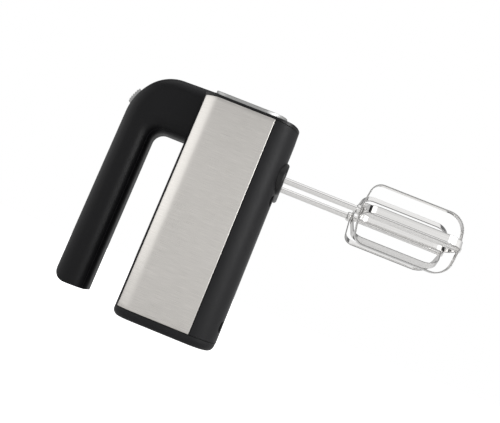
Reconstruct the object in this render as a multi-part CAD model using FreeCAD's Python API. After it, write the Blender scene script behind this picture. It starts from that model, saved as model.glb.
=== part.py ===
"""Hand mixer with an open C-shaped handle, two beaters and a worm-driven gearbox.

Frame: +Z runs along the body from the heel to the front, +X points along the beaters,
-X is the handle side, and the origin is the centre of the flat heel face.
"""
import FreeCAD, Part
import math
import os

V = FreeCAD.Vector
X_AXIS = V(1, 0, 0)
Y_AXIS = V(0, 1, 0)
Z_AXIS = V(0, 0, 1)

# Body envelope
HALF_WIDTH = 42.0
BACK_X = -40.0
FACE_X = 39.5
BACK_CORNER = 16.0
FACE_CORNER = 20.0
HEEL_TOP = 7.0
SHELL_BOTTOM = 7.3
SHELL_TOP = 178.0
BEZEL_BOTTOM = 178.3
RIM_Z = 180.2
DOME_RISE = 8.5
PLATE_PROUD = 2.0
WALL = 2.5
PANEL_THICKNESS = 1.0
PANEL_EDGE_X = 19.4
PANEL_WRAP_Y = 36.2

# Handle
GRIP_OUTER_X = -97.0
GRIP_INNER_X = -69.0
GRIP_END_Z = 6.5
ARM_UNDER_Z = 144.0
ARM_TOP_Z = 191.0
HANDLE_HALF_WIDTH = 17.0
HANDLE_WALL = 2.6
OUTER_EDGE_R = 12.0
INNER_EDGE_R = 14.0
ARM_END_X = -32.0
BEND_RADIUS = 45.0
BEND_CENTRE = V(-52.0, 0, 149.2)

# Drive train
BEATER_Z = 141.5
HALF_SPACING = 22.0
MOTOR_X = -3.0
WHEEL_TEETH = 30
WORM_STARTS = 2
MODULE = 1.07
WHEEL_PITCH_R = MODULE * WHEEL_TEETH / 2
WORM_PITCH_R = HALF_SPACING - WHEEL_PITCH_R
WORM_LEAD = math.pi * MODULE * WORM_STARTS
WHEEL_WIDTH = 9.0
TOOTH_SHARE = 0.34
SHAFT_R = 3.0
SPINDLE_R = 5.0
SOCKET_R = 2.55
BEATER_SHAFT_R = 2.45
COLLAR_FACE_X = 42.3
STACK_BOTTOM = 56.0
STACK_TOP = 86.0
BRACKET_Z = 32.0
COMMUTATOR_Z = 36.5
CASE_BOTTOM = 118.0
CASE_TOP = 166.0
EJECT_TRAVEL = 5.0
ROD_Z = 156.0

# Beaters
CAGE_START_X = 104.5
CAGE_TIP_X = 187.0
CAGE_R = 25.0
STRIP_THICKNESS = 1.0
STRIP_WIDTH = 6.0

os.makedirs("parts", exist_ok=True)


def export(name, shape):
    """Write one node and report its volume and soundness."""
    shape.exportStep("parts/" + name + ".step")
    print(name, len(shape.Solids), "solid(s)", round(shape.Volume), "mm3", shape.isValid())


def box(x0, x1, y0, y1, z0, z1):
    return Part.makeBox(x1 - x0, y1 - y0, z1 - z0, V(x0, y0, z0))


def rod(radius, start, length, axis):
    return Part.makeCylinder(radius, length, start, axis)


def tube(outer, inner, start, length, axis):
    return rod(outer, start, length, axis).cut(rod(inner, start, length, axis))


def inset_corners(corners, inset):
    """Move every side of a closed outline inwards (counter-clockwise), with its corner radii."""
    moved = []
    for i, (u, v, r) in enumerate(corners):
        pu, pv, _ = corners[i - 1]
        nu, nv, _ = corners[(i + 1) % len(corners)]
        a = math.atan2(v - pv, u - pu)
        b = math.atan2(nv - v, nu - u)
        turn = math.atan2(math.sin(b - a), math.cos(b - a))
        middle = a + turn / 2 + math.pi / 2
        reach = inset / math.cos(turn / 2)
        new_r = r - inset if turn > 0 else r + inset
        kept_r = max(new_r, 0) if r else 0
        moved.append((u + reach * math.cos(middle), v + reach * math.sin(middle), kept_r))
    return moved


def outline(corners, place):
    """Closed wire through (u, v, radius) corners, each rounded by an arc of its radius."""
    stops = []
    for i, (u, v, r) in enumerate(corners):
        pu, pv, _ = corners[i - 1]
        nu, nv, _ = corners[(i + 1) % len(corners)]
        here = V(u, v, 0)
        if r == 0:
            stops.append((here, here, here, r))
            continue
        back = (V(pu, pv, 0) - here).normalize()
        ahead = (V(nu, nv, 0) - here).normalize()
        half = back.getAngle(ahead) / 2
        cut = r / math.tan(half)
        centre = here + (back + ahead).normalize() * (r / math.sin(half))
        apex = centre + (here - centre).normalize() * r
        stops.append((here + back * cut, apex, here + ahead * cut, r))
    edges = []
    for i, (start, apex, end, r) in enumerate(stops):
        if r > 0:
            edges.append(Part.Arc(place(start), place(apex), place(end)).toShape())
        following = stops[(i + 1) % len(stops)][0]
        if end.distanceToPoint(following) > 1e-6:
            edges.append(Part.makeLine(place(end), place(following)))
    return Part.Wire(Part.__sortEdges__(edges))


def on_z(z):
    return lambda p: V(p.x, p.y, z)


def on_y(y):
    return lambda p: V(p.x, y, p.y)


def on_x(x):
    return lambda p: V(x, p.x, p.y)


def slab(corners, place, depth):
    return Part.Face(outline(corners, place)).extrude(depth)


BODY_CORNERS = [
    (BACK_X, -HALF_WIDTH, BACK_CORNER),
    (FACE_X, -HALF_WIDTH, FACE_CORNER),
    (FACE_X, HALF_WIDTH, FACE_CORNER),
    (BACK_X, HALF_WIDTH, BACK_CORNER),
]


def body_prism(inset, z0, z1):
    return slab(inset_corners(BODY_CORNERS, inset), on_z(z0), V(0, 0, z1 - z0))


def body_ring(outer, inner, z0, z1):
    return body_prism(outer, z0, z1).cut(body_prism(inner, z0, z1))


def fillet_where(shape, radius, wanted):
    return shape.makeFillet(radius, [e for e in shape.Edges if wanted(e)])


def mirror_y(shape):
    return shape.mirror(V(0, 0, 0), Y_AXIS)


# ---------------------------------------------------------------- handle envelope
def handle_corners(inset):
    closed = [
        (GRIP_OUTER_X, -30.0, 0),
        (GRIP_INNER_X, -30.0, 0),
        (GRIP_INNER_X, ARM_UNDER_Z, 9.0),
        (-20.0, ARM_UNDER_Z, 0),
        (-20.0, ARM_TOP_Z, 0),
        (-79.0, 189.5, 33.0),
        (GRIP_OUTER_X, 163.0, BEND_RADIUS),
    ]
    return inset_corners(closed, inset)


def handle_bar(inset):
    """C-shaped bar with rounded long edges, before its two ends are trimmed."""
    half = HANDLE_HALF_WIDTH - inset
    bar = slab(handle_corners(inset), on_y(-half), V(0, 2 * half, 0))
    inner_x = GRIP_INNER_X - inset - 3.5
    inner_z = ARM_UNDER_Z + inset + 3.5

    def along(edge, inner):
        mid = edge.valueAt((edge.FirstParameter + edge.LastParameter) / 2)
        if abs(abs(mid.y) - half) > 0.01 or mid.z < -25 or mid.x > -25:
            return False
        return (mid.x > inner_x and mid.z < inner_z) == inner

    bar = fillet_where(bar, OUTER_EDGE_R - inset, lambda e: along(e, False))
    return fillet_where(bar, INNER_EDGE_R - inset, lambda e: along(e, True))


def trim_ends(bar, inset):
    """Cut the bar to its free end and to the step where it meets the body."""
    keep = [
        (GRIP_OUTER_X - 1, 230.0, 0),
        (GRIP_OUTER_X, GRIP_END_Z, 12.0),
        (GRIP_INNER_X, GRIP_END_Z, 1.5),
        (GRIP_INNER_X + 0.5, 100.0, 0),
        (-20.0, 100.0, 0),
        (-20.0, 230.0, 0),
    ]
    return bar.common(slab(inset_corners(keep, inset), on_y(-30), V(0, 60, 0)))


def handle_outer():
    bar = trim_ends(handle_bar(0), 0)
    bar = bar.cut(box(BACK_X, 0, -30, 30, 100, BEZEL_BOTTOM - 0.1))
    return bar.cut(box(ARM_END_X, 0, -30, 30, 100, 230))


handle_envelope = handle_outer()
handle_cavity = trim_ends(handle_bar(HANDLE_WALL), HANDLE_WALL)
# the arm is closed above the spine: its hollow ends at the spine's face
handle_cavity = handle_cavity.cut(box(BACK_X - 1.5, 0, -30, 30, 174.5, 230))


def finger_gap_block(grow):
    """The finger gap's space, grown to set how much of the wall the inner cover takes."""
    corners = [
        (GRIP_INNER_X, -40.0, 0),
        (0.0, -40.0, 0),
        (0.0, ARM_UNDER_Z, 0),
        (GRIP_INNER_X, ARM_UNDER_Z, 9.0),
    ]
    return slab(inset_corners(corners, -grow), on_y(-30), V(0, 60, 0))


def arc_block(inner, outer, start_deg, end_deg, half_width):
    """Sector about the bend's centre line, from start to end above the -X direction."""
    axis_start = BEND_CENTRE + V(0, -half_width, 0)
    ring = tube(outer, inner, axis_start, 2 * half_width, Y_AXIS)
    sweep = end_deg - start_deg
    wedge_face = Part.Face(Part.makePolygon([
        axis_start,
        axis_start + V(-200, 0, 0),
        axis_start + V(-200, 0, 200 * math.tan(math.radians(sweep))),
        axis_start,
    ]))
    wedge = wedge_face.extrude(V(0, 2 * half_width, 0))
    wedge.rotate(BEND_CENTRE, Y_AXIS, start_deg)
    return ring.common(wedge)


# Speed selector: rides round the bend in a shallow track
SELECTOR_REST_DEG = 19.2
SELECTOR_TRAVEL_DEG = 16.0
KNOB_HALF_DEG = 8.2
TRACK_MARGIN_DEG = 0.6
track_start = SELECTOR_REST_DEG - KNOB_HALF_DEG - TRACK_MARGIN_DEG
track_end = SELECTOR_REST_DEG + SELECTOR_TRAVEL_DEG + KNOB_HALF_DEG + TRACK_MARGIN_DEG
TRACK_FLOOR_R = BEND_RADIUS - 1.4
selector_track = arc_block(TRACK_FLOOR_R, 55.0, track_start, track_end, 6.3)
STEM_HALF_DEG = 3.0
selector_slot = arc_block(
    40.0,
    46.0,
    SELECTOR_REST_DEG - STEM_HALF_DEG - TRACK_MARGIN_DEG,
    SELECTOR_REST_DEG + SELECTOR_TRAVEL_DEG + STEM_HALF_DEG + TRACK_MARGIN_DEG,
    2.4,
)

# Eject button opening in the top of the arm
BUTTON_X0 = -74.0
BUTTON_X1 = -60.0
BUTTON_HALF_WIDTH = 6.0
BUTTON_GAP = 0.3
button_opening = box(
    BUTTON_X0 - BUTTON_GAP,
    BUTTON_X1 + BUTTON_GAP,
    -BUTTON_HALF_WIDTH - BUTTON_GAP,
    BUTTON_HALF_WIDTH + BUTTON_GAP,
    176.0,
    200.0,
)


def build_handle():
    shell = handle_envelope.cut(handle_cavity).cut(finger_gap_block(HANDLE_WALL + 0.1))
    shell = shell.cut(selector_track).cut(selector_slot).cut(button_opening)
    export("handle_shell", shell)
    cover = handle_envelope.common(finger_gap_block(HANDLE_WALL))
    export("handle_cover", cover)


def build_selector():
    knob = arc_block(
        TRACK_FLOOR_R + 0.25,
        BEND_RADIUS + 2.2,
        SELECTOR_REST_DEG - KNOB_HALF_DEG,
        SELECTOR_REST_DEG + KNOB_HALF_DEG,
        6.0,
    )
    ridge_count = 5
    ridge_pitch_deg = 2.6
    ridge_half_deg = 0.75
    for i in range(ridge_count):
        middle = SELECTOR_REST_DEG + (i - (ridge_count - 1) / 2) * ridge_pitch_deg
        ridge = arc_block(
            BEND_RADIUS + 2.0, BEND_RADIUS + 3.0, middle - ridge_half_deg, middle + ridge_half_deg, 5.0
        )
        knob = knob.fuse(ridge)
    stem = arc_block(
        41.0,
        TRACK_FLOOR_R + 0.5,
        SELECTOR_REST_DEG - STEM_HALF_DEG,
        SELECTOR_REST_DEG + STEM_HALF_DEG,
        2.1,
    )
    export("speed_selector", knob.fuse(stem).removeSplitter())
    carriage = arc_block(38.5, 41.0, SELECTOR_REST_DEG - 7, SELECTOR_REST_DEG + 7, 6.0)
    export("selector_carriage", carriage)


# ---------------------------------------------------------------- ejector
ROD_HALF = 3.0
WEDGE_X0 = -70.0
WEDGE_GAP = 0.15
PLATE_X0 = -24.0
PLATE_X1 = -21.5


def below_wedge_plane(offset):
    """Everything below the 45 degree contact plane between button and rod."""
    low = V(-110, -30, ROD_Z - ROD_HALF + (-110 - WEDGE_X0) + offset)
    high = V(-20, -30, ROD_Z - ROD_HALF + (-20 - WEDGE_X0) + offset)
    face = Part.Face(Part.makePolygon([low, high, V(-20, -30, 0), V(-110, -30, 0), low]))
    return face.extrude(V(0, 60, 0))


def build_ejector():
    plate_corners = [
        (-HALF_SPACING - 6, BEATER_Z - 6, 5.0),
        (HALF_SPACING + 6, BEATER_Z - 6, 5.0),
        (HALF_SPACING + 6, BEATER_Z + 6, 5.0),
        (9.0, BEATER_Z + 6, 0),
        (9.0, ROD_Z + 5, 3.0),
        (-9.0, ROD_Z + 5, 3.0),
        (-9.0, BEATER_Z + 6, 0),
        (-HALF_SPACING - 6, BEATER_Z + 6, 5.0),
    ]
    plate = slab(plate_corners, on_x(PLATE_X0), V(PLATE_X1 - PLATE_X0, 0, 0))
    export("ejector_plate", plate)
    push_rod = box(WEDGE_X0, PLATE_X0, -ROD_HALF, ROD_HALF, ROD_Z - ROD_HALF, ROD_Z + ROD_HALF)
    push_rod = push_rod.common(below_wedge_plane(0))
    export("ejector_rod", push_rod)


def build_eject_button():
    cap = handle_envelope.common(
        box(BUTTON_X0, BUTTON_X1, -BUTTON_HALF_WIDTH, BUTTON_HALF_WIDTH, 181.5, 200)
    )
    flange = box(BUTTON_X0 - 2, BUTTON_X1 + 2, -8, 8, 178.5, 181.5)
    stem = box(WEDGE_X0 + 0.5, WEDGE_X0 + 6, -2.8, 2.8, ROD_Z - ROD_HALF, 180.0)
    stem = stem.cut(below_wedge_plane(WEDGE_GAP * math.sqrt(2)))
    export("eject_button", cap.fuse([flange, stem]).removeSplitter())


def build_eject_spring():
    """Eight-sided wire wound on a helix along the ejector's travel, with both ends ground flat."""
    coil_r = 3.4
    wire_r = 0.45
    turns = 3.5
    start_x = PLATE_X1 + 0.1
    length = -13.5 - 0.1 - start_x
    pitch = length / turns
    spine = Part.makeHelix(pitch, length + 2 * pitch, coil_r)
    eighths = [math.radians(22.5 + 45 * k) for k in range(9)]
    section = [V(coil_r + wire_r * math.cos(a), 0, wire_r * math.sin(a)) for a in eighths]
    coil = Part.Wire(spine).makePipeShell([Part.makePolygon(section)], True, True)
    coil.translate(V(0, 0, -pitch))
    coil = coil.common(Part.makeBox(10, 10, length, V(-5, -5, 0)))
    coil.rotate(V(0, 0, 0), Y_AXIS, 90)
    coil.translate(V(start_x, 0, ROD_Z))
    export("eject_spring", coil)


# ---------------------------------------------------------------- casing
def dome_solid(lift, base_z):
    """Crowned block: a height field that is flat at the rim and highest along the arm's line."""
    rows = []
    steps = 20
    for i in range(steps + 1):
        x = BACK_X - 2 + (FACE_X - BACK_X + 4) * i / steps
        toward_face = max(0.0, (x - 15.0) / (FACE_X - 15.0))
        toward_back = max(0.0, (-28.0 - x) / (-28.0 - BACK_X))
        along = (1 - toward_face ** 2) * (1 - toward_back ** 2)
        row = []
        for j in range(steps + 1):
            y = -HALF_WIDTH - 2 + (2 * HALF_WIDTH + 4) * j / steps
            across = 1 - (y / HALF_WIDTH) ** 2
            row.append(V(x, y, RIM_Z + DOME_RISE * along * across + lift))
        rows.append(row)
    surface = Part.BSplineSurface()
    surface.interpolate(rows)
    block = surface.toShape().extrude(V(0, 0, -40))
    return block.common(box(-60, 60, -60, 60, base_z, 230))


PLATE_HALF_WIDTH = 39.6
PLATE_CORNERS = [
    (ARM_END_X + 0.4, -PLATE_HALF_WIDTH, 12.0),
    (27.0, -PLATE_HALF_WIDTH, 20.0),
    (27.0, PLATE_HALF_WIDTH, 20.0),
    (ARM_END_X + 0.4, PLATE_HALF_WIDTH, 12.0),
]


def build_front():
    outer = body_prism(0, BEZEL_BOTTOM, 200)
    bezel = outer.common(dome_solid(0, BEZEL_BOTTOM - 1))
    bezel = bezel.cut(body_prism(WALL + 1.5, BEZEL_BOTTOM - 1, 200).common(dome_solid(-3.2, 160)))
    pocket = slab(inset_corners(PLATE_CORNERS, -0.12), on_z(160), V(0, 0, 60))
    bezel = bezel.cut(pocket.cut(dome_solid(-0.9, 150)))
    bezel = bezel.cut(handle_envelope)
    export("front_bezel", bezel)
    plate = slab(PLATE_CORNERS, on_z(160), V(0, 0, 60))
    plate = plate.common(dome_solid(PLATE_PROUD, 165)).cut(dome_solid(-0.85, 150))
    hollow = slab(inset_corners(PLATE_CORNERS, 1.0), on_z(160), V(0, 0, 60))
    plate = plate.cut(hollow.common(dome_solid(PLATE_PROUD - 1.0, 165)))
    export("front_plate", plate)


SCREW_Y = 25.5
SCREW_ZS = (20.0, 122.0)
RECESS_R = 4.5
BOSS_R = 6.3
BOSS_FLOOR_X = 22.0
GLAND_Y = 22.0
GLAND_Z = 38.0


def collar_corners(grow):
    half_y = 33.0 + grow
    half_z = 13.0 + grow
    r = half_z - 0.01
    return [
        (-half_y, BEATER_Z - half_z, r),
        (half_y, BEATER_Z - half_z, r),
        (half_y, BEATER_Z + half_z, r),
        (-half_y, BEATER_Z + half_z, r),
    ]


def build_casing():
    beyond_panels = box(-60, 0, -PANEL_WRAP_Y + 0.25, PANEL_WRAP_Y - 0.25, 0, 200)
    upper = body_ring(PANEL_THICKNESS + 0.1, 3.3, SHELL_BOTTOM, SHELL_TOP)
    upper = upper.common(box(-60, PANEL_EDGE_X, -60, 60, 0, 200))
    spine = body_ring(0, 3.3, SHELL_BOTTOM, SHELL_TOP).common(beyond_panels)
    tongue = body_ring(WALL + 0.1, 4.0, SHELL_BOTTOM, SHELL_TOP).common(box(14, 25, -60, 60, 0, 200))
    upper = upper.fuse([spine, tongue])
    for side in (-1, 1):
        for z in (130.0, 154.0):
            post = rod(3.5, V(BACK_X + 2, side * 30, z), -13.7 - (BACK_X + 2), X_AXIS)
            upper = upper.fuse(post)
        y0, y1 = sorted((side * 36.8, side * 41.5))
        upper = upper.cut(box(-12, 6, y0, y1, 122, 161))
        boss_at = V(BACK_X + 2, side * SCREW_Y, SCREW_ZS[0])
        boss_length = BOSS_FLOOR_X - 3.1 - boss_at.x
        pilot = rod(1.95, V(BOSS_FLOOR_X - 15, side * SCREW_Y, SCREW_ZS[0]), 20.0, X_AXIS)
        upper = upper.fuse(rod(4.2, boss_at, boss_length, X_AXIS)).cut(pilot)
    upper = upper.cut(box(-50, -30, -8.0, 8.0, 149.0, 172.0))
    upper = upper.cut(rod(5.6, V(-50, GLAND_Y, GLAND_Z), 20, X_AXIS))
    export("upper_shell", upper.removeSplitter())

    lower = body_ring(0, WALL, SHELL_BOTTOM, SHELL_TOP).common(box(PANEL_EDGE_X + 0.4, 60, -60, 60, 0, 200))
    inside = body_prism(0.0, 0, 200)
    for z in SCREW_ZS:
        for side in (-1, 1):
            boss = rod(BOSS_R, V(BOSS_FLOOR_X - 3, side * SCREW_Y, z), 30, X_AXIS).common(inside)
            lower = lower.fuse(boss)
    for z in SCREW_ZS:
        for side in (-1, 1):
            lower = lower.cut(rod(RECESS_R, V(BOSS_FLOOR_X, side * SCREW_Y, z), 30, X_AXIS))
            lower = lower.cut(rod(2.2, V(BOSS_FLOOR_X - 5, side * SCREW_Y, z), 30, X_AXIS))
    for side in (-1, 1):
        lower = lower.cut(rod(6.5, V(20, side * HALF_SPACING, BEATER_Z), 40, X_AXIS))
    export("lower_shell", lower.removeSplitter())

    collar = slab(collar_corners(0), on_x(28), V(COLLAR_FACE_X - 28, 0, 0))
    collar = fillet_where(collar, 2.2, lambda e: abs(e.CenterOfMass.x - COLLAR_FACE_X) < 0.01)
    collar = collar.cut(body_prism(0, 0, 200))
    for side in (-1, 1):
        collar = collar.cut(rod(5.9, V(20, side * HALF_SPACING, BEATER_Z), 40, X_AXIS))
    export("collar", collar)

    ring = body_ring(0, PANEL_THICKNESS, SHELL_BOTTOM, SHELL_TOP)
    near = ring.common(box(-60, PANEL_EDGE_X, -60, -PANEL_WRAP_Y, 0, 200))
    export("side_panel_near", near)
    export("side_panel_far", mirror_y(near))

    heel = body_prism(0, 0, HEEL_TOP)
    heel = fillet_where(heel, 5.0, lambda e: abs(e.CenterOfMass.z) < 0.01)
    heel = heel.cut(body_prism(6.2, 2.6, HEEL_TOP + 1))
    lip = body_ring(4.2, 6.2, 2.6, 13.0)
    for side in (-1, 1):
        lip = lip.cut(box(-60, -30, side * GLAND_Y - 8, side * GLAND_Y + 8, HEEL_TOP, 20))
        lip = lip.cut(rod(BOSS_R + 0.4, V(10, side * SCREW_Y, SCREW_ZS[0]), 40, X_AXIS))
        lip = lip.cut(rod(4.7, V(-50, side * SCREW_Y, SCREW_ZS[0]), 30, X_AXIS))
    export("heel_cap", heel.fuse(lip).removeSplitter())

    gland = tube(5.5, 3.6, V(BACK_X, GLAND_Y, GLAND_Z), 9.0, X_AXIS)
    flange = tube(7.0, 3.6, V(BACK_X - 1.2, GLAND_Y, GLAND_Z), 1.2, X_AXIS)
    collar_nut = tube(6.4, 3.6, V(BACK_X + 3.4, GLAND_Y, GLAND_Z), 2.5, X_AXIS)
    export("cord_gland", gland.fuse([flange, collar_nut]).removeSplitter())


def case_screw(tip):
    """Pan-head screw along +X from its tip, with a cross recess in the head."""
    length = 14.0
    head_r = 3.6
    shank = rod(1.9, tip, length, X_AXIS)
    head = rod(head_r, tip + V(length, 0, 0), 2.4, X_AXIS)
    arm = head_r * 0.62
    recess_x = tip.x + length + 1.3
    long_y = box(recess_x, recess_x + 2, tip.y - arm, tip.y + arm, tip.z - 0.4, tip.z + 0.4)
    long_z = box(recess_x, recess_x + 2, tip.y - 0.4, tip.y + 0.4, tip.z - arm, tip.z + arm)
    return shank.fuse(head).cut(long_y).cut(long_z)


# ---------------------------------------------------------------- motor and gearbox
def axis_at(z):
    return V(MOTOR_X, 0, z)


def build_motor():
    height = STACK_TOP - STACK_BOTTOM
    bolt_spots = [(MOTOR_X + sx * 22.5, sy * 26.5) for sx in (-1, 1) for sy in (-1, 1)]
    frame_corners = [
        (MOTOR_X - 27, -31, 6.0),
        (MOTOR_X + 27, -31, 6.0),
        (MOTOR_X + 27, 31, 6.0),
        (MOTOR_X - 27, 31, 6.0),
    ]
    window_corners = [
        (MOTOR_X - 20, -21, 4.0),
        (MOTOR_X + 20, -21, 4.0),
        (MOTOR_X + 20, 21, 4.0),
        (MOTOR_X - 20, 21, 4.0),
    ]
    stack = slab(frame_corners, on_z(STACK_BOTTOM), V(0, 0, height))
    stack = stack.cut(slab(window_corners, on_z(STACK_BOTTOM), V(0, 0, height)))
    for side in (-1, 1):
        x0, x1 = sorted((MOTOR_X + side * 12.5, MOTOR_X + side * 21))
        stack = stack.fuse(box(x0, x1, -9, 9, STACK_BOTTOM, STACK_TOP))
    stack = stack.cut(rod(16.0, axis_at(STACK_BOTTOM), height, Z_AXIS))
    for x, y in bolt_spots:
        stack = stack.cut(rod(2.2, V(x, y, STACK_BOTTOM), height, Z_AXIS))
    export("field_stack", stack.removeSplitter())

    coils = []
    for side in (-1, 1):
        x0, x1 = sorted((MOTOR_X + side * 15.0, MOTOR_X + side * 19.6))
        coil = box(x0, x1, -18, 18, STACK_BOTTOM - 8, STACK_TOP + 8)
        coil = coil.cut(box(x0, x1, -9.3, 9.3, STACK_BOTTOM - 0.4, STACK_TOP + 0.4))
        coils.append(coil.cut(rod(16.0, axis_at(STACK_BOTTOM - 10), height + 20, Z_AXIS)))
    export("field_coils", Part.makeCompound(coils))

    core = rod(15.4, axis_at(STACK_BOTTOM), height, Z_AXIS)
    slot_count = 12
    for i in range(slot_count):
        slot = box(MOTOR_X + 8.5, MOTOR_X + 14.4, -1.6, 1.6, STACK_BOTTOM, STACK_TOP)
        mouth = box(MOTOR_X + 14.0, MOTOR_X + 16.0, -0.6, 0.6, STACK_BOTTOM, STACK_TOP)
        cutter = slot.fuse(mouth)
        cutter.rotate(axis_at(0), Z_AXIS, 360.0 * i / slot_count)
        core = core.cut(cutter)
    export("rotor_core", core.cut(rod(SHAFT_R, axis_at(STACK_BOTTOM), height, Z_AXIS)))

    windings = [
        tube(13.4, 5.5, axis_at(STACK_BOTTOM - 6.0), 5.9, Z_AXIS),
        tube(13.4, 5.5, axis_at(STACK_TOP + 0.1), 6.0, Z_AXIS),
    ]
    export("rotor_windings", Part.makeCompound(windings))

    commutator_length = 11.5
    commutator = tube(8.0, SHAFT_R, axis_at(COMMUTATOR_Z), commutator_length, Z_AXIS)
    commutator_top = COMMUTATOR_Z + commutator_length
    for i in range(slot_count):
        groove = box(MOTOR_X + 7.4, MOTOR_X + 9.0, -0.25, 0.25, COMMUTATOR_Z, commutator_top)
        groove.rotate(axis_at(0), Z_AXIS, 360.0 * i / slot_count)
        commutator = commutator.cut(groove)
    export("commutator", commutator)

    fan_z = 98.0
    fan = tube(24.0, SHAFT_R, axis_at(fan_z), 1.5, Z_AXIS)
    fan = fan.fuse(tube(6.0, SHAFT_R, axis_at(fan_z), 14.0, Z_AXIS))
    blade_count = 9
    for i in range(blade_count):
        blade = box(MOTOR_X + 5.5, MOTOR_X + 23.5, -0.6, 0.6, fan_z + 1, fan_z + 12)
        blade.rotate(V(MOTOR_X + 5.5, 0, 0), Z_AXIS, 25)
        blade.rotate(axis_at(0), Z_AXIS, 360.0 * i / blade_count)
        fan = fan.fuse(blade)
    fan = fan.common(rod(24.0, axis_at(fan_z), 20, Z_AXIS))
    fan = fan.cut(rod(SHAFT_R, axis_at(fan_z), 20, Z_AXIS))
    export("cooling_fan", fan.removeSplitter())

    brush_z = COMMUTATOR_Z + commutator_length / 2
    holders = []
    brushes = []
    for side in (-1, 1):
        y0, y1 = sorted((side * 9.2, side * 26.0))
        holder = box(MOTOR_X - 4.5, MOTOR_X + 4.5, y0, y1, brush_z - 5, brush_z + 5)
        holder = holder.cut(box(MOTOR_X - 3.1, MOTOR_X + 3.1, y0, y1, brush_z - 3.1, brush_z + 3.1))
        holders.append(holder)
        b0, b1 = sorted((side * 8.06, side * 20.0))
        brush = box(MOTOR_X - 3.0, MOTOR_X + 3.0, b0, b1, brush_z - 3, brush_z + 3)
        brushes.append(brush.cut(rod(8.06, axis_at(brush_z - 5), 10, Z_AXIS)))
    export("carbon_brushes", Part.makeCompound(brushes))
    export("brush_holders", Part.makeCompound(holders))

    bracket_corners = [
        (MOTOR_X - 26, -30, 8.0),
        (MOTOR_X + 26, -30, 8.0),
        (MOTOR_X + 26, 30, 8.0),
        (MOTOR_X - 26, 30, 8.0),
    ]
    bracket = slab(bracket_corners, on_z(BRACKET_Z), V(0, 0, 3.5))
    bracket = bracket.fuse(rod(9.0, axis_at(BRACKET_Z - 11), 12.0, Z_AXIS))
    for x, y in bolt_spots:
        bracket = bracket.fuse(rod(4.0, V(x, y, BRACKET_Z + 1), STACK_BOTTOM - BRACKET_Z - 1, Z_AXIS))
    for x, y in bolt_spots:
        bracket = bracket.cut(rod(2.2, V(x, y, BRACKET_Z - 5), 60.0, Z_AXIS))
    bracket = bracket.cut(rod(6.0, axis_at(BRACKET_Z - 15), 40.0, Z_AXIS))
    export("end_bracket", bracket.removeSplitter())
    export("rear_bush", tube(6.0, SHAFT_R + 0.05, axis_at(BRACKET_Z - 10.5), 9.0, Z_AXIS))

    mount_top = CASE_BOTTOM - 3.0
    mount = slab(bracket_corners, on_z(mount_top - 3), V(0, 0, 3.0))
    for x, y in bolt_spots:
        mount = mount.fuse(rod(4.0, V(x, y, STACK_TOP), mount_top - 1 - STACK_TOP, Z_AXIS))
        mount = mount.cut(rod(1.95, V(x, y, STACK_TOP), 40, Z_AXIS))
    mount = mount.cut(rod(20.0, axis_at(mount_top - 10), 20, Z_AXIS))
    for x in (-6.0, 8.0):
        for y in (-28.0, 28.0):
            mount = mount.fuse(rod(2.5, V(x, y, mount_top - 1), CASE_BOTTOM - mount_top + 1, Z_AXIS))
    export("motor_mount", mount)

    bolts = []
    for x, y in bolt_spots:
        bolt = rod(1.9, V(x, y, BRACKET_Z - 3), mount_top - BRACKET_Z + 3, Z_AXIS)
        bolts.append(bolt.fuse(rod(3.6, V(x, y, BRACKET_Z - 3), 3.0, Z_AXIS)))
    export("motor_bolts", Part.makeCompound(bolts))


def worm_thread(start_angle):
    """One worm start: a trapezoid carried along a right-hand helix on the shaft."""
    pitch = math.pi * MODULE
    thread_height = 22.0
    root_r = WORM_PITCH_R - 1.25
    tip_r = WORM_PITCH_R + 0.95
    half_mid = pitch * TOOTH_SHARE / 2
    slope = math.tan(math.radians(20))
    half_root = half_mid + 1.25 * slope
    half_tip = half_mid - 0.95 * slope
    z0 = BEATER_Z - thread_height / 2
    profile = Part.makePolygon([
        V(root_r - 0.3, 0, -half_root),
        V(tip_r, 0, -half_tip),
        V(tip_r, 0, half_tip),
        V(root_r - 0.3, 0, half_root),
        V(root_r - 0.3, 0, -half_root),
    ])
    helix = Part.makeHelix(WORM_LEAD, thread_height, root_r)
    thread = Part.Wire(helix).makePipeShell([profile], True, True)
    thread.rotate(V(0, 0, 0), Z_AXIS, start_angle)
    thread.translate(V(MOTOR_X, 0, z0))
    return thread


def build_worm_shaft():
    """Shaft whose thread crest passes the beater height on both sides of the worm."""
    root_r = WORM_PITCH_R - 1.25
    shaft_z = BRACKET_Z - 10
    shaft = rod(SHAFT_R, V(MOTOR_X, 0, shaft_z), CASE_TOP - 1.0 - shaft_z, Z_AXIS)
    shaft = shaft.fuse(rod(root_r, V(MOTOR_X, 0, BEATER_Z - 13.0), 26.0, Z_AXIS))
    turns_to_middle = 11.0 / WORM_LEAD
    crest_angle = -90.0 - 360.0 * turns_to_middle
    for start in range(WORM_STARTS):
        shaft = shaft.fuse(worm_thread(crest_angle + 360.0 * start / WORM_STARTS))
    export("worm_shaft", shaft)


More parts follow.
